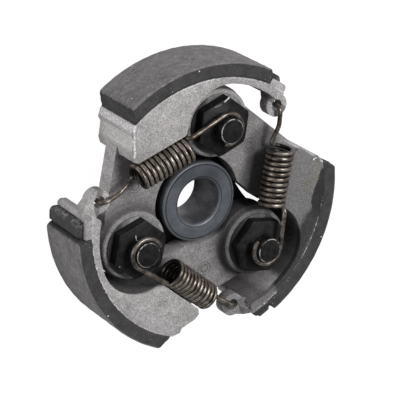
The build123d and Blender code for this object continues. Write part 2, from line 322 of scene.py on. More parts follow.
        # A patch round a straight run, with a ragged rim and light or dark streaks, between two heights.
        spread = self.awayFromRun(mark["start"], mark["end"])
        jitter = self.math("SUBTRACT", self.noise(mark.get("grain", 0.8), 5, 0.72), 0.5)
        spread = self.math("ADD", spread, self.math("MULTIPLY", jitter, mark["ragged"]))
        soft = mark.get("soft", 0.15)
        patch = self.fall(spread, mark["reach"] - soft, mark["reach"] + soft)
        patch = self.both(patch, self.within(self.z, mark["low"], mark["high"], 0.1))
        colour = grey(mark["tone"], mark.get("warm", 0.0), mark.get("olive", 0.0))
        streaks = self.rise(self.noise(0.5, 3, 0.7), 0.5, 0.68, 1.0, mark.get("streaks", 1.3))
        self.tint(patch, self.blend(1.0, colour, streaks, "MULTIPLY"), mark.get("share", 1.0))

    def done(self, metallic, rough):
        self.put(self.colour, self.shader.inputs["Base Color"])
        self.put(metallic, self.shader.inputs["Metallic"])
        self.put(rough, self.shader.inputs["Roughness"])
        if self.normal:
            self.put(self.normal, self.shader.inputs["Normal"])
        return self.material


def grey(level, warm=0.0, olive=0.0):
    # An 8-bit display grey as a linear colour, turned a little to red or to olive.
    display = np.clip(level * np.array([1 + warm, 1, 1 - olive]) / 255, 0, 1)
    linear = np.where(display > 0.04045, ((display + 0.055) / 1.055) ** 2.4, display / 12.92)
    return (*linear.tolist(), 1.0)


def upTurn(index):
    # Azimuth of a bolt, counted anticlockwise from the one on +Y.
    return firstPivotAngle + index * stepAngle


def arcPoint(radius, angle):
    # The point of the plan at a radius and an angle.
    return radius * math.cos(math.radians(angle)), radius * math.sin(math.radians(angle))


pivotRadius = Vector(frame["joints"][0]["pos_m"][:2]).length / mm
ownPivot = (pivotRadius, 0.0)
nextPivot = (-pivotRadius / 2, -pivotRadius * math.sqrt(3) / 2)

castingLook = {
    # Display greys, each with its warmth
    "front": (164, 0.022), "shade": (145, 0.022), "pit": (100, 0.022), "end": (190, 0.022),
    "armWall": (74, 0.03), "pocket": ((30, 0.03), (52, 0.03), (52, 0.03)), "residue": (57, 0.02),
    "edge": (226, 0.0), "rough": 0.6,
    # Factors on the colour, some of them shoe by shoe
    "tone": (0.42, 1.0, 0.93), "grimeAndShade": (0.76, 0.62, 0.38), "web": 0.6, "rootShade": 0.55, "coilShade": 0.42,
    # Heights between which a part of the look starts or ends
    "toneRise": (16.0, 17.2), "webTop": (10.8, 12.4), "rootTop": (11.4, 13.2), "grimeAndShadeTop": (16.5, 17.2),
    "wallTop": (16.9, 17.7), "frontRise": (17.2, 17.5), "endTop": (17.3, 17.6),
    # Rings round the shoe's own eye, the neighbour's bolt and the clutch's axis, and x where some of them end
    "rootRing": (8.3, 10.2, 0.7), "grimeAndShadeReach": (12.0, 17.0), "grimeAndShadeWander": 6.0,
    "pocketWall": (9.5, 11.75, 0.2), "armWallRing": (30.6, 32.2, 0.15), "armWallEnd": (-12.0, -9.0),
    "rim": (33.9, 34.3, 0.12), "ledge": (33.6, 35.4, 0.12), "fray": 1.6, "creep": (34.2, 34.3),
    "creepEnd": (-25.6, -24.6), "endReach": (0.5, 0.7), "ringLine": (0.06, 0.22),
    # The run under each coil, and how far its shade reaches
    "coilRun": (
        ((-0.5, -17.0), (15.0, -17.0)),
        ((-0.5, -19.6), (7.5, -19.6)),
        ((-0.5, -20.0), (15.0, -20.0)),
    ),
    "coilReach": (3.2, 6.4),
}

ejectorRings = (
    {"centre": (14.5, -13.0), "radius": 1.0, "low": 10.0, "high": 11.6, "dim": 0.4},
    {"centre": (14.5, -13.0), "radius": 1.8, "low": 10.0, "high": 11.6, "dim": 0.6},
    {"centre": (5.2, -27.3), "radius": 2.1, "low": 17.0, "high": 18.5, "dim": 0.76},
)

# A mark follows a run in the shoe's own plan, out to its reach, between the heights low and high.

# A painted highlight along the edge of shoe 2's block; its run also places the end of every block
blockEdge = {
    "start": (12.6, -31.7), "end": (15.0, -24.4), "reach": 0.18, "soft": 0.14, "low": 16.8, "high": 19,
    "ragged": 1.5, "grain": 0.6, "tone": 228, "share": 0.8,
}

shoeMarks = (
    (
        # Shoe 1: darker grey over the front, from the block to the arm
        {"start": (2, -27), "end": (9, -28), "reach": 5.2, "soft": 2.5, "low": 16.5, "high": 19,
         "ragged": 2.5, "tone": 106, "warm": 0.01, "share": 0.75},
        {"start": (-8, -30.5), "end": (13, -30), "reach": 2.6, "soft": 1.2, "low": 16.5, "high": 19,
         "ragged": 2.5, "tone": 98, "warm": 0.01, "share": 0.7},
        # Olive film inside the black compound that crept over the rim
        {"start": (11.9, -30.3), "end": (8.6, -30.9), "reach": 1.3, "soft": 0.35, "low": 17, "high": 19,
         "ragged": 1.0, "tone": 104, "warm": 0.02, "olive": 0.075, "share": 0.85},
        {"start": (6.9, -28.7), "end": (4.6, -29.2), "reach": 1.2, "soft": 0.4, "low": 17, "high": 19,
         "ragged": 1.0, "tone": 100, "warm": 0.02, "olive": 0.075, "share": 0.8},
        {"start": (9.6, -33.0), "end": (6.4, -32.6), "reach": 1.3, "soft": 0.2, "low": 17, "high": 19,
         "ragged": 2.2, "tone": 24, "warm": 0.02, "streaks": 2.5},
        {"start": (5.6, -32.7), "end": (2.0, -32.4), "reach": 1.8, "soft": 0.2, "low": 17, "high": 19,
         "ragged": 2.2, "tone": 20, "warm": 0.02, "streaks": 2.5},
        {"start": (2.0, -32.6), "end": (-1.4, -33.0), "reach": 1.5, "soft": 0.25, "low": 17, "high": 19,
         "ragged": 2.0, "tone": 25, "warm": 0.02, "streaks": 2.5},
        # Dark arm, its lip, a painted highlight at the block's corner, the lug and the flare
        {"start": (-3.0, -32.0), "end": (-21.0, -26.5), "reach": 2.4, "soft": 0.9, "low": 16.4, "high": 19,
         "ragged": 3.0, "tone": 36, "warm": 0.02, "share": 0.9, "streaks": 2.2},
        {"start": (-25.4, -25.4), "end": (-28.9, -24.2), "reach": 1.5, "soft": 0.25, "low": 16.0, "high": 19,
         "ragged": 1.2, "tone": 42, "warm": 0.02},
        {"start": (13.4, -29.5), "end": (13.0, -28.9), "reach": 0.14, "soft": 0.12, "low": 17, "high": 19,
         "ragged": 1.3, "grain": 0.4, "tone": 238, "share": 0.9},
        {"start": (-26.5, -13.0), "end": (-30.0, -19.0), "reach": 3.6, "soft": 1.5, "low": 9.0, "high": 16.3,
         "ragged": 1.5, "tone": 92, "warm": 0.02, "share": 0.6},
        {"start": (-29.3, -19.7), "end": (-26.7, -23.6), "reach": 0.95, "soft": 0.2, "low": 16.0, "high": 19,
         "ragged": 1.2, "grain": 0.6, "tone": 40, "warm": 0.02, "share": 0.95},
    ),
    (
        # Shoe 2: a painted highlight along the block's edge, and a duller arm
        blockEdge,
        {"start": (-13.5, -29.0), "end": (-24.0, -21.4), "reach": 3.2, "soft": 1.2, "low": 16.0, "high": 19,
         "ragged": 1.5, "tone": 128, "warm": 0.02, "share": 0.6},
    ),
    (
        # Shoe 3: a paler front, and grime and painted shade beside the eye
        {"start": (-2, -31.5), "end": (10, -31), "reach": 2.0, "soft": 1.4, "low": 17, "high": 19,
         "ragged": 2.0, "tone": 168, "warm": 0.012, "share": 0.4},
        {"start": (26.5, -5.5), "end": (28.5, 3.0), "reach": 4.8, "soft": 2.0, "low": 3.0, "high": 15.5,
         "ragged": 2.0, "tone": 36, "warm": 0.04, "share": 0.85},
    ),
)


def castingFinish(index):
    # Blasted casting: fine grain, pits, a web darker with dust and painted shade, grime and painted shade in
    # the hollows, painted light on the block's end and rim, and marks of its own.
    look = castingLook
    finish = Finish(f"castShoe{index + 1}", upTurn(index), 3.7 * index)
    cloud = finish.rise(finish.noise(4.0, 4, 0.6), 0.35, 0.65)
    finish.colour = finish.blend(cloud, grey(*look["shade"]), grey(*look["front"]))
    finish.tint(finish.rise(finish.noise(0.6, 2, 0.6), 0.64, 0.72), grey(*look["pit"]), 0.7)
    finish.dim(finish.rise(finish.z, *look["toneRise"]), look["tone"][index])

    # The web darker with dust and painted shade, its shade under the coil, and grime and painted shade round
    # the eye
    web = finish.both(finish.fall(finish.z, *look["webTop"]), finish.upward)
    finish.dim(web, look["web"])
    coil = finish.awayFromRun(*look["coilRun"][index])
    finish.dim(finish.both(web, finish.fall(coil, *look["coilReach"])), look["coilShade"])
    eye = finish.away(ownPivot)
    root = finish.both(finish.within(eye, *look["rootRing"]), finish.fall(finish.z, *look["rootTop"]))
    finish.dim(root, look["rootShade"])
    # Grime and painted shade round the eye, below the front
    wander = finish.math("MULTIPLY", finish.noise(3.0, 4, 0.65), look["grimeAndShadeWander"])
    grimeAndShade = finish.fall(finish.math("ADD", eye, wander), *look["grimeAndShadeReach"])
    finish.dim(finish.both(grimeAndShade, finish.fall(finish.z, *look["grimeAndShadeTop"])), look["grimeAndShade"][index])

    # The walls of the pocket and of the arm, below the front, darkened as painted shade, the pocket's wall
    # with grime as well
    below = finish.fall(finish.z, *look["wallTop"])
    pocket = finish.both(finish.within(finish.away(nextPivot), *look["pocketWall"]), below)
    finish.tint(pocket, grey(*look["pocket"][index]), 0.85)
    armWall = finish.both(finish.within(finish.radius, *look["armWallRing"]), below,
                          finish.fall(finish.x, *look["armWallEnd"]))
    finish.tint(armWall, grey(*look["armWall"]), 0.7)
    for ring in ejectorRings:
        line = finish.math("ABSOLUTE", finish.math("SUBTRACT", finish.away(ring["centre"]), ring["radius"]))
        level = finish.within(finish.z, ring["low"], ring["high"], 0.1)
        finish.dim(finish.both(finish.fall(line, *look["ringLine"]), level), ring["dim"])

    # A rim beside the lining painted bright, a painted highlight with wear, and compound that crept over it
    front = finish.rise(finish.z, *look["frontRise"])
    rim = finish.both(finish.within(finish.radius, *look["rim"]), front)
    rim = finish.both(rim, finish.rise(finish.noise(0.8, 3, 0.6), 0.4, 0.6))
    finish.tint(rim, grey(*look["edge"]), 0.5)
    fray = finish.math("MULTIPLY", finish.noise(1.1, 4, 0.7), look["fray"])
    ragged = finish.math("ADD", finish.radius, fray)
    creepStart, creepFull = look["creep"]
    crept = finish.rise(ragged, creepStart + look["fray"] / 2, creepFull + look["fray"] / 2)
    crept = finish.both(crept, front, finish.rise(finish.x, *look["creepEnd"]))
    finish.tint(crept, grey(*look["residue"]), 0.95)
    for mark in shoeMarks[index]:
        finish.mark(mark)

    # The end of the block, made lighter with painted light, and a ledge of flash under the lining
    endFace = finish.fall(finish.awayFromRun(blockEdge["start"], blockEdge["end"]), *look["endReach"])
    finish.tint(finish.both(endFace, finish.fall(finish.z, *look["endTop"])), grey(*look["end"]), 0.8)
    ledge = finish.both(finish.within(ragged, *look["ledge"]), endFace)
    broken = finish.rise(finish.noise(0.9, 4, 0.7), 0.4, 0.6)
    finish.tint(finish.both(ledge, broken), grey(*look["edge"]), 0.45)
    finish.grain(0.36, 0.74, 1.26)
    finish.grain(0.22, 0.72, 1.28)
    finish.bump(ledge, 0.35, 0.8)
    finish.bump(finish.noise(1.5, 2, 0.5), 0.1, 0.4)
    finish.bump(finish.noise(0.36, 3, 0.65), 0.06, 0.65)
    return finish.done(0.0, look["rough"])


liningLook = {
    # Display greys, each with its warmth
    "worn": (108, 0.025), "wornDark": (92, 0.025), "fleck": (140, 0.012), "side": (57, 0.03),
    "sideDark": (45, 0.03), "notch": (34, 0.02), "speck": (215, 0.0), "smear": (145, 0.012),
    "metal": (164, 0.012), "rough": 0.8,
    "wornRise": (37.45, 37.8),  # radii between which the worn outside starts
    # The notch between the step and the main segment, darkened at its bottom as painted shade
    "notchRun": (arcPoint(36.0, 222.0), arcPoint(40.0, 222.0)),
    "notchReach": (0.35, 0.75), "notchTop": (37.0, 37.5),
    # Metal smeared over the step, and flash that wanders over the slanted end
    "smearAt": arcPoint(35.5, 216.0), "smearReach": (0.8, 2.4), "smearShare": (0.01, 0.6, 0.6),
    "flashAt": arcPoint(34.0, 291.6), "flashReach": (0.35, 0.5), "flash": 4.5,
}


def liningFinish(index):
    # Moulded friction compound: worn and lighter outside, with pale flecks and fine runs along the arc.
    look = liningLook
    finish = Finish(f"frictionCompound{index + 1}", upTurn(index), 11.3 + 2.9 * index)
    face = finish.rise(finish.radius, *look["wornRise"])
    cloud = finish.rise(finish.noise(2.6, 4, 0.65), 0.35, 0.65)
    outer = finish.blend(cloud, grey(*look["wornDark"]), grey(*look["worn"]))
    runs = finish.rise(finish.noise(0.5, 3, 0.6, (0.22, 0.22, 1.0)), 0.45, 0.65)
    outer = finish.blend(finish.math("MULTIPLY", runs, 0.35), outer, grey(*look["fleck"]))
    sides = finish.blend(cloud, grey(*look["sideDark"]), grey(*look["side"]))
    finish.colour = finish.blend(face, sides, outer)
    # Painted shade at the bottom of the notch
    notch = finish.fall(finish.awayFromRun(*look["notchRun"]), *look["notchReach"])
    finish.tint(finish.both(notch, finish.fall(finish.radius, *look["notchTop"])), grey(*look["notch"]), 0.85)
    smear = finish.fall(finish.away(look["smearAt"]), *look["smearReach"])
    smear = finish.both(smear, finish.rise(finish.noise(1.0, 4, 0.7), 0.46, 0.6))
    finish.tint(smear, grey(*look["smear"]), look["smearShare"][index])
    jitter = finish.math("SUBTRACT", finish.noise(0.8, 5, 0.75), 0.5)
    flash = finish.math("ADD", finish.away(look["flashAt"]), finish.math("MULTIPLY", jitter, look["flash"]))
    finish.tint(finish.fall(flash, *look["flashReach"]), grey(*look["metal"]), 0.9)
    finish.grain(0.34, 0.72, 1.28)
    finish.grain(1.6, 0.9, 1.1, 3.0)
    patches = finish.rise(finish.noise(7.0, 3, 0.6), 0.5, 0.6)
    finish.tint(finish.both(finish.fall(finish.cells(1.5), 0.06, 0.1), patches), grey(*look["speck"]), 0.8)
    finish.tint(finish.fall(finish.cells(4.6), 0.03, 0.05), grey(*look["speck"]), 0.85)
    finish.bump(finish.noise(1.8, 3, 0.55), 0.15, 0.4)
    finish.bump(finish.noise(0.4, 3, 0.65), 0.07, 0.6)
    return finish.done(0.0, look["rough"])


hubLook = {
    "steel": ((0.085, 0.094, 0.108, 1), (0.125, 0.136, 0.153, 1)),
    "spider": ((0.004, 0.004, 0.005, 1), (0.011, 0.011, 0.012, 1)),
    "bore": ((0.1, 0.1, 0.11, 1), (0.2, 0.2, 0.215, 1)),
    "edgeHighlight": (0.2, 0.215, 0.235, 1), "groove": (0.02, 0.022, 0.026, 1),
    "noseRise": (9.5, 11.6), "noseEdge": (10.9, 11.3), "frontRise": (11.2, 11.5), "boreEdge": (6.02, 6.12),
    # Rings on the front, turned grooves and painted highlights on the edges: inner and outer radius,
    # softness, colour and share
    "rings": (
        (10.2, 10.7, 0.06, "edgeHighlight", 0.8),
        (9.66, 9.98, 0.07, "groove", 0.95),
        (6.6, 6.82, 0.06, "groove", 0.9),
        (6.25, 6.55, 0.06, "edgeHighlight", 0.6),
    ),
    "darkTowardsY": 0.62, "darkTowardsYRise": (0.5, 9.0), "toolPitch": 0.33, "metallic": 0.35, "rough": 0.45,
}


def hubFinish():
    # Blued nose with turned rings and painted highlights on its edges, a bore with a painted reflection, and
    # a black spider.
    look = hubLook
    finish = Finish("bluedHub")
    cloud = finish.rise(finish.noise(2.2, 4, 0.6), 0.3, 0.7)
    steel = finish.blend(cloud, *look["steel"])
    spider = finish.blend(cloud, *look["spider"])
    nose = finish.both(finish.rise(finish.z, *look["noseRise"]),
                       finish.fall(finish.radius, *look["noseEdge"]))
    finish.colour = finish.blend(nose, spider, steel)
    front = finish.rise(finish.z, *look["frontRise"])
    for inner, outer, soft, colour, share in look["rings"]:
        finish.tint(finish.both(finish.within(finish.radius, inner, outer, soft), front), look[colour], share)
    # Lighter streaks along the bore are a painted reflection
    worn = finish.rise(finish.noise(3.2, 4, 0.65, (1, 1, 0.4)), 0.4, 0.62)
    finish.tint(finish.fall(finish.radius, *look["boreEdge"]), finish.blend(worn, *look["bore"]))
    # The front darker towards +Y
    finish.dim(finish.both(finish.rise(finish.y, *look["darkTowardsYRise"]), front), look["darkTowardsY"])
    turned = finish.math("SINE", finish.math("MULTIPLY", finish.radius, 2 * math.pi / look["toolPitch"]))
    finish.bump(turned, 0.004, 0.25)
    finish.bump(finish.noise(0.5, 3, 0.6), 0.025, 0.45)
    return finish.done(look["metallic"], look["rough"])


boltLook = {
    "dark": (0.004, 0.004, 0.0045, 1), "light": (0.017, 0.016, 0.016, 1), "rub": (0.42, 0.41, 0.4, 1),
    "rubRing": (3.03, 3.2, 0.05), "rubRise": (20.3, 20.45), "specular": 0.14, "rough": 0.5,
}

boltMarks = (  # painted glints and scuffs on the heads
    (
        {"start": (28.9, -0.1), "end": (27.7, 1.3), "reach": 0.16, "low": 15.8, "high": 17.6,
         "tone": 190, "ragged": 0.2},
        {"start": (26.9, 2.2), "end": (26.2, 3.9), "reach": 0.14, "low": 15.8, "high": 17.6,
         "tone": 105, "ragged": 0.5},
    ),
    (
        {"start": (21.2, -4.4), "end": (21.45, -3.0), "reach": 0.1, "low": 16.5, "high": 17.6,
         "tone": 200, "ragged": 0.3},
        {"start": (27.9, 0.9), "end": (28.0, 0.9), "reach": 0.12, "low": 15.5, "high": 17.6,
         "tone": 150, "ragged": 0.3},
    ),
    (
        {"start": (22.1, -3.9), "end": (22.2, -3.8), "reach": 0.25, "low": 16.5, "high": 17.6,
         "tone": 240, "ragged": 0.4},
        {"start": (21.0, -3.8), "end": (20.9, -3.7), "reach": 0.14, "low": 16.5, "high": 17.6,
         "tone": 170, "ragged": 0.3},
        {"start": (12.9, -0.3), "end": (13.7, -3.0), "reach": 0.12, "low": 15.0, "high": 17.6,
         "tone": 200, "ragged": 0.3},
    ),
)


def oxideFinish(index):
    # Black oxide, rubbed bright on the peg's chamfer, with painted glints and scuffs on the head.
    look = boltLook
    finish = Finish(f"blackOxide{index + 1}", upTurn(index), 1.9 * index)
    cloud = finish.rise(finish.noise(1.4, 4, 0.6), 0.3, 0.7)
    finish.colour = finish.blend(cloud, look["dark"], look["light"])
    chamfer = finish.both(finish.within(finish.away(ownPivot), *look["rubRing"]),
                          finish.rise(finish.z, *look["rubRise"]))
    rub = finish.both(chamfer, finish.rise(finish.noise(1.6, 3, 0.6), 0.36, 0.58))
    finish.tint(rub, look["rub"], 0.95)
    for mark in boltMarks[index]:
        finish.mark(mark)
    finish.bump(finish.noise(0.5, 3, 0.6), 0.025, 0.45)
    finish.shader.inputs["Specular IOR Level"].default_value = look["specular"]
    return finish.done(0.0, look["rough"])


washerLook = {
    "light": ((132, 0.01), (140, 0.01), (96, 0.01)), "dark": ((100, 0.01), (108, 0.01), (70, 0.01)),
    "grimeAndShade": (26, 0.02), "share": (0.55, 0.15, 0.5), "metallic": 0.2, "rough": 0.5,
    # A painted shadow of the head, with grime, lies towards one azimuth of the clutch
    "side": 188.0, "sideShare": (0.9, 0.85, 0.9), "sideRise": (3.2, 6.5), "sideWander": 3.0,
    "sideEdge": (7.6, 8.6),
}


def washerFinish(index):
    # Grey plated washer, with grime more on the first and third bolts, and a painted shadow of the head, with
    # grime, on one side.
    look = washerLook
    finish = Finish(f"platedWasher{index + 1}", upTurn(index), 5.1 * index)
    cloud = finish.rise(finish.noise(1.2, 4, 0.65), 0.35, 0.65)
    finish.colour = finish.blend(cloud, grey(*look["dark"][index]), grey(*look["light"][index]))
    grimeAndShade = finish.rise(finish.noise(2.5, 4, 0.65), 0.38, 0.6)
    finish.tint(grimeAndShade, grey(*look["grimeAndShade"]), look["share"][index])
    # Painted shadow of the head, with grime, on the side towards that azimuth
    reach = finish.vector("SUBTRACT", finish.plan, (*ownPivot, 0))
    toward = (*arcPoint(1.0, look["side"] - upTurn(index)), 0)
    lean = finish.vector("DOT_PRODUCT", reach, toward, "Value")
    wander = finish.math("MULTIPLY", finish.noise(1.3, 4, 0.7), look["sideWander"])
    side = finish.rise(finish.math("ADD", lean, wander), *look["sideRise"])
    side = finish.both(side, finish.fall(finish.away(ownPivot), *look["sideEdge"]))
    finish.tint(side, grey(*look["grimeAndShade"]), look["sideShare"][index])
    finish.bump(finish.noise(0.35, 3, 0.65), 0.04, 0.5)
    return finish.done(look["metallic"], look["rough"])


springLook = {
    "dark": (0.07, 0.052, 0.043, 1), "light": (0.3, 0.265, 0.23, 1), "olive": (0.13, 0.122, 0.09, 1),
    "gap": 0.1, "gapRise": (0.35, 0.85), "metallic": 0.65, "rough": (0.3, 0.45),
}


def springFinish():
    # Oil-tempered wire, brown with olive patches, and darker with painted shade where a turn faces the inside
    # of its coil.
    look = springLook
    finish = Finish("springWire")
    cloud = finish.rise(finish.noise(1.8, 3, 0.6), 0.35, 0.65)
    finish.colour = finish.blend(cloud, look["dark"], look["light"])
    finish.tint(finish.rise(finish.noise(4.0, 3, 0.6), 0.5, 0.7), look["olive"], 0.6)
    # Painted shade where the wire turns away from the outside of its coil
    outward = finish.tree.nodes.new("ShaderNodeAttribute")
    outward.attribute_name = "outward"
    finish.dim(finish.fall(outward.outputs["Fac"], *look["gapRise"]), look["gap"])
    finish.bump(finish.noise(0.3, 3, 0.6), 0.015, 0.4)
    rough = finish.rise(finish.noise(2.5, 3, 0.6), 0.35, 0.65, *look["rough"])
    return finish.done(look["metallic"], rough)


# Pieces made from the frame

edgeSetup = {
    "merge": 0.002, "flat": 0.4, "sharp": 30, "segments": 2,  # the angles in degrees
}

edgeWidth = {"spiderHub": 0.12, "castShoe": 0.4, "pivotBolt": 0.1, "headWasher": 0.06, "spacerWasher": 0.08}


def addPiece(mesh, material):
    mesh.materials.clear()
    mesh.materials.append(material)
    piece = bpy.data.objects.new(mesh.name, mesh)
    bpy.context.scene.collection.objects.link(piece)
    return piece


def roundedCopy(node, name, width, material, body):
    # A merged copy of the node with its sharp edges broken, which stands for it.
    mesh = frame["nodes"][node].data.copy()
    mesh.name = name
    work = bmesh.new()
    work.from_mesh(mesh)
    bmesh.ops.remove_doubles(work, verts=work.verts, dist=edgeSetup["merge"] * mm)
    bmesh.ops.dissolve_limit(
        work, angle_limit=math.radians(edgeSetup["flat"]), verts=work.verts, edges=work.edges
    )
    for face in work.faces:
        face.smooth = True
    work.to_mesh(mesh)
    work.free()
    piece = addPiece(mesh, material)
    bevel = piece.modifiers.new("brokenEdges", "BEVEL")
    bevel.width = width * mm
    bevel.segments = edgeSetup["segments"]
    bevel.limit_method = "ANGLE"
    bevel.angle_limit = math.radians(edgeSetup["sharp"])
    bevel.harden_normals = True
    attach(piece, body)
    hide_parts(node)
    return piece


# Pieces made as surfaces

def closedSkin(name, points, poles, flipped=False):
    # Each ring of points is joined to the one after it, and the first and last ring to their poles.
    # Rings that run the other way round need their faces flipped to point outwards.
    rings, sides = points.shape[:2]
    row = np.arange(rings - 1)[:, None] * sides
    column = np.arange(sides)[None, :]
    beside = (column + 1) % sides
    around = np.arange(sides)
    following = (around + 1) % sides
    last = (rings - 1) * sides
    groups = (
        [row + column, row + beside, row + sides + beside, row + sides + column],
        [np.full(sides, rings * sides), following, around],
        [np.full(sides, rings * sides + 1), last + around, last + following],
    )
    faces = []
    for corners in groups:
        if flipped:
            corners = corners[:1] + corners[:0:-1]
        faces += np.stack(corners, -1).reshape(-1, len(corners)).tolist()
    vertices = np.concatenate([points.reshape(-1, 3), poles]) * mm
    mesh = bpy.data.meshes.new(name)
    mesh.from_pydata(vertices.tolist(), [], faces)
    mesh.polygons.foreach_set("use_smooth", np.ones(len(mesh.polygons), bool))
    mesh.update()
    return mesh


# Linings

liningSize = {
    "inner": 34.3, "middle": 36.0, "outer": 38.0, "back": 1.5, "front": 17.9, "stepFront": 16.65,
    # Angles round the axis: the step from start to notch, then the main segment to its slanted end
    "start": 216.0, "notch": 221.95, "main": 223.1, "end": 291.6, "endBevel": 3.3, "leanStart": 260.0,
    "frontLead": 0.1, "notchWidth": 0.45, "soft": 0.45, "wander": 0.9, "fray": 1.1, "frayReach": 4.0,
    "notchRadius": 36.2, "stepRadius": (37.9, 37.2, 37.2), "stepRound": (0.5, 1.4, 1.4),
    "endRound": (1.35, 0.85, 1.0), "mainSideRound": 0.35, "stepSideRound": 0.45, "relief": 0.12,
    "rings": 420, "endRings": 14, "endReach": 1.4, "flank": 7, "across": 40, "around": 10,
}


liningWaves = {
    "count": 6, "pace": (0.4, 2.6), "phase": (0, 6.28),
    # How fast each kind of wave runs along its two coordinates, and its seed
    "wander": (1.1, 0.6, 30), "relief": (0.9, 0.9, 40), "fray": (2.4, 2.2, 70), "fineFray": (5.5, 5.0, 80),
    "fineShare": 0.7,
}


def waves(kind, a, b, index):
    # Slow relief between 0 and 1: the mean of sines of the two coordinates with mixed paces and phases.
    alongA, alongB, seed = liningWaves[kind]
    generator = np.random.default_rng(seed + index)
    count, pace = liningWaves["count"], liningWaves["pace"]
    total = np.zeros(np.broadcast(a, b).shape)
    for _ in range(count):
        u, v = generator.uniform(*pace), generator.uniform(*pace)
        total = total + np.sin(u * (a * alongA) + v * (b * alongB) + generator.uniform(*liningWaves["phase"]))
    return 0.5 + total / (2 * count)


def roundOff(gap, radius):
    # Drop of a quarter-circle rounding at a gap from the edge.
    inside = np.clip(radius - gap, 0, radius)
    return radius - np.sqrt(radius**2 - inside**2)


def makeLining(index, material):
    # Rounded section carried along the arc: thin step, notch and main segment, slanted at the block end.
    size = liningSize
    arc = np.linspace(size["start"], size["end"], size["rings"])
    closer = np.linspace(0, size["endReach"], size["endRings"]) * math.degrees(1 / size["middle"])
    arc = np.unique(np.concatenate([arc, size["start"] + closer, size["end"] - closer]))
    fromStart = ((arc - size["start"]) * math.radians(size["middle"]))[:, None]
    fromEnd = ((size["end"] - arc) * math.radians(size["middle"]))[:, None]
    front = np.where(arc < size["notch"] - size["frontLead"], size["stepFront"], size["front"])[:, None]
    inset = roundOff(np.minimum(fromStart, fromEnd), size["mainSideRound"])
    rounding = np.where(arc[:, None] < size["notch"], size["stepSideRound"], size["mainSideRound"])

    # The section runs outwards on the back, over the crest to the front and back inside.
    # Radius = inner + level (crest - rounding - inner) + rounding corner.
    share = np.linspace(0, 1, size["across"])
    flank = np.linspace(0, 1, size["flank"])
    quarter = np.linspace(0, np.pi / 2, size["around"])
    level = np.concatenate([flank, np.ones(len(quarter) * 2 + len(share)), flank[::-1]])
    corner = np.concatenate([0 * flank, np.sin(quarter), np.ones(len(share)), np.cos(quarter), 0 * flank])
    past = np.ones(len(flank) + len(quarter) + len(share))
    fromBack = np.concatenate([0 * flank, 1 - np.cos(quarter), past])
    fromFront = np.concatenate([past, 1 - np.sin(quarter), 0 * flank])
    climb = np.concatenate([0 * flank, 0 * quarter, share, np.ones(len(quarter) + len(flank))])
    low = size["back"] + inset + rounding * fromBack
    high = front - inset - rounding * fromFront
    depth = low + (high - low) * climb

    # The step's end, the notch and the main segment's edge wander with the height.
    stepRadius = size["stepRadius"][index]
    wander = arc[:, None] + size["wander"] * (waves("wander", depth, depth, index) - 0.5)
    step = 0.5 - 0.5 * np.tanh((wander - size["main"]) / size["soft"])
    notch = np.exp(-((wander - size["notch"]) / size["notchWidth"]) ** 2)
    crest = size["outer"] + step * (stepRadius - size["outer"]) - (stepRadius - size["notchRadius"]) * notch
    crest = crest - roundOff(fromStart, size["stepRound"][index]) - roundOff(fromEnd, size["endRound"][index])
    rise = size["inner"] + level * (crest - rounding - size["inner"]) + rounding * corner

    # The end slants back with the radius and frays, and the outside has a slow relief.
    slant = np.clip((rise - size["inner"]) / (size["outer"] - size["inner"]), 0, 1)
    lean = np.clip((arc - size["leanStart"]) / (size["end"] - size["leanStart"]), 0, 1)[:, None]
    angle = arc[:, None] - size["endBevel"] * slant * lean
    fray = waves("fray", depth, rise, index)
    fray = fray + liningWaves["fineShare"] * waves("fineFray", depth, rise, index)
    nearEnd = np.clip((arc - size["end"] + size["frayReach"]) / size["frayReach"], 0, 1)[:, None]
    angle = angle - size["fray"] * fray * nearEnd**2
    relief = size["relief"] * waves("relief", angle * math.radians(size["middle"]), depth, index)
    rise = rise - relief * slant**2
    turn = np.radians(angle + upTurn(index))
    points = np.stack([rise * np.cos(turn), rise * np.sin(turn), depth], -1)
    poles = np.stack([points[0].mean(0), points[-1].mean(0)])
    piece = addPiece(closedSkin(f"frictionLining{index + 1}", points, poles, flipped=True), material)
    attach(piece, f"shoe_body_{index + 1}")
    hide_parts(f"lining_{index + 1}")


# Springs

springSize = {
    "wire": 0.6, "coil": 3.0, "pitch": 1.36, "turns": 11.25, "tilt": 1.5,  # radii, and degrees of tilt
    "startX": 0.4, "axisY": -18.496, "axisZ": 17.4, "hookZ": (19.42, 18.77, 19.82),
    "loop": 3.98, "wrap": 216.0, "hookBend": 1.3, "overrun": 1.25, "drift": 0.1,
    "lugRadius": 31.0, "lugAngle": 327.7, "lugTop": 14.45, "rise": 1.9, "inHole": 3.2,
    "sag": (1.1, -0.7, 0.3), "neckBends": (1.1, 6.0, 1.6),
    "sides": 16, "loopSteps": 60, "turnSteps": 56, "shankSteps": 12, "neckSteps": 16,
    "capRadii": (0.45, 0.8, 0.95), "capDepths": (0.0, 0.06, 0.2), "capLength": 0.25,  # shares of the wire
    "plainFacing": 0.66,  # what the loop and the neck carry as their outward value, which dulls them a little
}


def arcPoints(centre, radius, start, end, steps):
    # Points spread evenly over a flat arc round the centre.
    angles = np.radians(np.linspace(start, end, steps))
    flat = np.zeros((steps, 3))
    flat[:, 0] = centre[0] + radius * np.cos(angles)
    flat[:, 1] = centre[1] + radius * np.sin(angles)
    return flat


def roundedPath(corners, radii, steps):
    # Straight runs with a tangent arc at each inner corner.
    corners = np.array(corners, float)
    pieces = [corners[:1]]
    for before, corner, after, radius in zip(corners, corners[1:], corners[2:], radii):
        into = (corner - before) / np.linalg.norm(corner - before)
        out = (after - corner) / np.linalg.norm(after - corner)
        turn = math.acos(np.clip(into @ out, -1, 1))
        cut = radius * math.tan(turn / 2)
        middle = (out - into) / np.linalg.norm(out - into)
        centre = corner + middle * radius / math.cos(turn / 2)
        arm = corner - into * cut - centre
        across = into * radius
        t = np.linspace(0, turn, steps)[:, None]
        pieces.append(centre + arm * np.cos(t) + across * np.sin(t))
    pieces.append(corners[-1:])
    return np.concatenate(pieces)


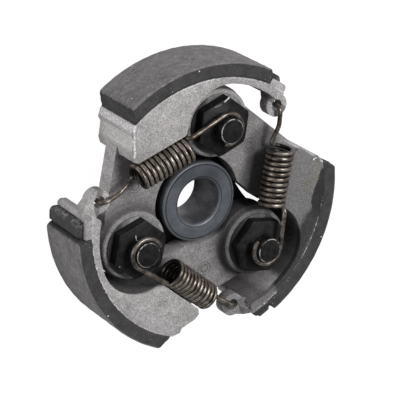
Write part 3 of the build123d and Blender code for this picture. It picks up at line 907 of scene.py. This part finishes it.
def springPath(size, hookZ, sag):
    # Loop round the peg, shank, helix and neck, with the shoe's own pivot on +X.
    peg = np.array(nextPivot)
    start = np.array([size["startX"], size["axisY"] - size["coil"]])
    reach = start - peg
    lead = math.degrees(math.acos(size["loop"] / np.hypot(*reach)))
    touch = math.degrees(math.atan2(reach[1], reach[0])) - lead
    loop = arcPoints(peg, size["loop"], touch - size["wrap"], touch, size["loopSteps"])
    loop[:, 2] = hookZ
    bend = [loop[-1], (*start, hookZ), (*start, size["axisZ"])]
    shank = roundedPath(bend, [size["hookBend"]], size["shankSteps"])

    # The helix is centre + coil radius (cos t side + sin t down) + pitch along its tilted axis per turn.
    tilt = math.radians(size["tilt"])
    t = np.linspace(0, size["turns"], int(size["turns"] * size["turnSteps"]))[:, None]
    side = np.array([0, -1, 0])
    along = np.array([math.cos(tilt), 0, -math.sin(tilt)])
    down = np.cross(along, side)
    centre = np.array([size["startX"], size["axisY"], size["axisZ"]])
    spoke = np.cos(2 * np.pi * t) * side + np.sin(2 * np.pi * t) * down
    helix = centre + size["coil"] * spoke + size["pitch"] * t * along

    # The neck leaves the coil, sags half way and drops into the lug's hole.
    lug = np.array(arcPoint(size["lugRadius"], size["lugAngle"]))
    turning = helix[-1] + (size["drift"], size["overrun"], 0)
    above = np.array([*lug, size["lugTop"] + size["rise"]])
    halfWay = (turning + above) / 2 - (0, sag, 0)
    inLug = above - (0, 0, size["rise"] + size["inHole"])
    neck = roundedPath([helix[-1], turning, halfWay, above, inLug], size["neckBends"], size["neckSteps"])

    # Outward is away from the coil's axis on the helix, and nothing on the loop and the neck.
    path = np.concatenate([loop, shank[1:-1], helix, neck[1:]])
    outward = np.zeros_like(path)
    helixStart = len(loop) + len(shank) - 2
    outward[helixStart:helixStart + len(helix)] = spoke
    return path, outward, lug


def tubeMesh(name, path, outward, size):
    # A circle carried along the path on frames that don't twist, closed by a rounded cap at each end.
    # The outward value is 1 where the wire faces away from its coil's axis. Doubled points are dropped.
    keep = np.r_[True, np.linalg.norm(np.diff(path, axis=0), axis=1) > 1e-4]
    path = path[keep]
    outward = outward[keep]
    tangent = np.gradient(path, axis=0)
    tangent /= np.linalg.norm(tangent, axis=1)[:, None]
    normal = np.zeros_like(path)
    first = np.cross(tangent[0], (0.3, 0.2, 1.0))  # any direction off the tangent does
    normal[0] = first / np.linalg.norm(first)
    for k in range(1, len(path)):
        carried = normal[k - 1] - (normal[k - 1] @ tangent[k]) * tangent[k]
        normal[k] = carried / np.linalg.norm(carried)
    binormal = np.cross(tangent, normal)
    angle = np.linspace(0, 2 * np.pi, size["sides"], endpoint=False)
    ring = normal[:, None] * np.cos(angle)[None, :, None] + binormal[:, None] * np.sin(angle)[None, :, None]

    wire = size["wire"]
    capRadii = np.array(size["capRadii"])[:, None, None]
    capDepths = np.array(size["capDepths"])[:, None] - size["capLength"]
    head = path[0] + tangent[0] * wire * capDepths
    tail = path[-1] - tangent[-1] * wire * capDepths[::-1]
    rings = np.concatenate([
        head[:, None] + ring[:1] * wire * capRadii,
        path[:, None] + ring * wire,
        tail[:, None] + ring[-1:] * wire * capRadii[::-1],
    ])
    facing = np.where(np.any(outward, 1)[:, None], (ring * outward[:, None]).sum(-1), size["plainFacing"])
    mesh = closedSkin(name, rings, np.concatenate([head[:1], tail[-1:]]))
    caps = np.ones(len(capRadii) * size["sides"])
    attribute = mesh.attributes.new("outward", "FLOAT", "POINT")
    attribute.data.foreach_set("value", np.concatenate([caps, facing.ravel(), caps, [1.0, 1.0]]))
    return mesh


def spin(points, degrees):
    # The points turned about the clutch's axis.
    turn = math.radians(degrees)
    matrix = np.array([[math.cos(turn), -math.sin(turn), 0], [math.sin(turn), math.cos(turn), 0], [0, 0, 1]])
    return points @ matrix.T


def makeSpring(index, material):
    # One end loops round its bolt's peg, and the other drops into the hole of the lug that it pulls.
    size = springSize
    path, outward, lug = springPath(size, size["hookZ"][index], size["sag"][index])
    path, outward = spin(path, upTurn(index)), spin(outward, upTurn(index))
    piece = addPiece(tubeMesh(f"hookedSpring{index + 1}", path, outward, size), material)
    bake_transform(piece)
    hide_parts(f"spring_{index + 1}")


bpy.context.scene.view_settings.view_transform = "Standard"
camera = aimCamera()
makeWorld()
makeFloor()
addLamps(camera)
print("stage set")

roundedCopy("hub", "spiderHub", edgeWidth["spiderHub"], hubFinish(), "hub_body")
wire = springFinish()
for index in range(3):
    number = index + 1
    cast = castingFinish(index)
    body = f"shoe_body_{number}"
    roundedCopy(f"shoe_{number}", f"castShoe{number}", edgeWidth["castShoe"], cast, body)
    makeLining(index, liningFinish(index))
    oxide = oxideFinish(index)
    plated = washerFinish(index)
    for node, name, material in (
        ("pivot_bolt", "pivotBolt", oxide),
        ("head_washer", "headWasher", plated),
        ("spacer_washer", "spacerWasher", oxide),
    ):
        width = edgeWidth[name]
        roundedCopy(f"{node}_{number}", f"{name}{number}", width, material, "hub_body")
    makeSpring(index, wire)
print("pieces dressed")
